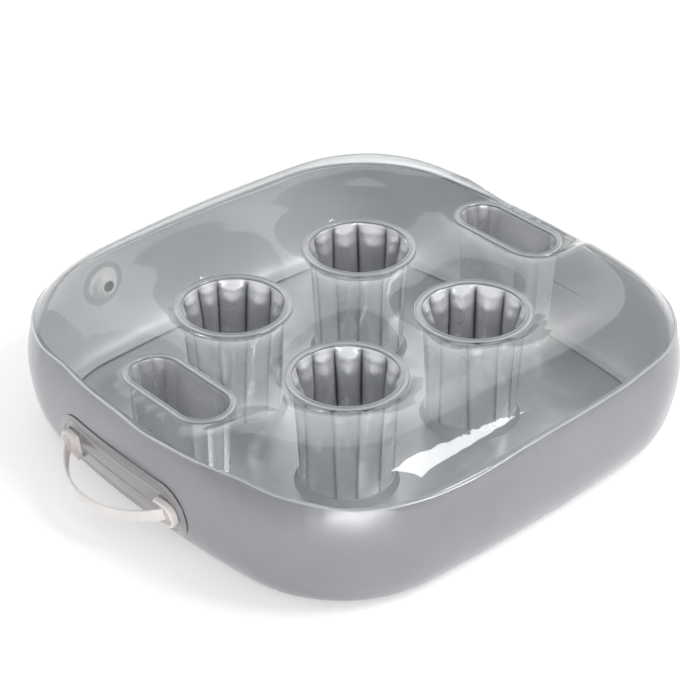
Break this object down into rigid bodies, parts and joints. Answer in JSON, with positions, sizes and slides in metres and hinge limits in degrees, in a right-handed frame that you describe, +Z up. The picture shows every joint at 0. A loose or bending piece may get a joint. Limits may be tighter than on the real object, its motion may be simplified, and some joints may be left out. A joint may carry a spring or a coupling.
{
  "type": "floating drink holder",
  "caption": "Inflatable square tray for a pool: clear film over a silver body, with pleated pockets for drinks and phones, an air valve and carry handles.",
  "frame": {"origin": "on the surface the tray rests on, under the middle of the tray", "axes": "+X through the middle of one handle end, +Y through the middle of the side with the air valve, +Z up"},
  "size_m": [0.5196, 0.4454, 0.1186],
  "materials": {
    "silver_vinyl": "satin metallic",
    "pocket_vinyl": "satin metallic",
    "clear_film": "glossy, clear",
    "handle_vinyl": "milky, translucent",
    "valve_vinyl": "milky white"
  },
  "bodies": {
    "root": {"side_band": "silver_vinyl", "top_film": "clear_film", "cup_sleeve_left": "pocket_vinyl", "cup_floor_left": "pocket_vinyl", "cup_sleeve_front": "pocket_vinyl", "cup_floor_front": "pocket_vinyl", "cup_sleeve_right": "pocket_vinyl", "cup_floor_right": "pocket_vinyl", "cup_sleeve_rear": "pocket_vinyl", "cup_floor_rear": "pocket_vinyl", "phone_sleeve_left": "pocket_vinyl", "phone_floor_left": "pocket_vinyl", "phone_sleeve_right": "pocket_vinyl", "phone_floor_right": "pocket_vinyl", "bottom_panel": "silver_vinyl", "valve_body": "valve_vinyl", "valve_plug": "valve_vinyl", "handle_base_left": "handle_vinyl", "handle_strap_left": "handle_vinyl", "strap_anchor_a_left": "handle_vinyl", "strap_anchor_b_left": "handle_vinyl", "handle_base_right": "handle_vinyl", "handle_strap_right": "handle_vinyl", "strap_anchor_a_right": "handle_vinyl", "strap_anchor_b_right": "handle_vinyl"}
  },
  "joints": []
}
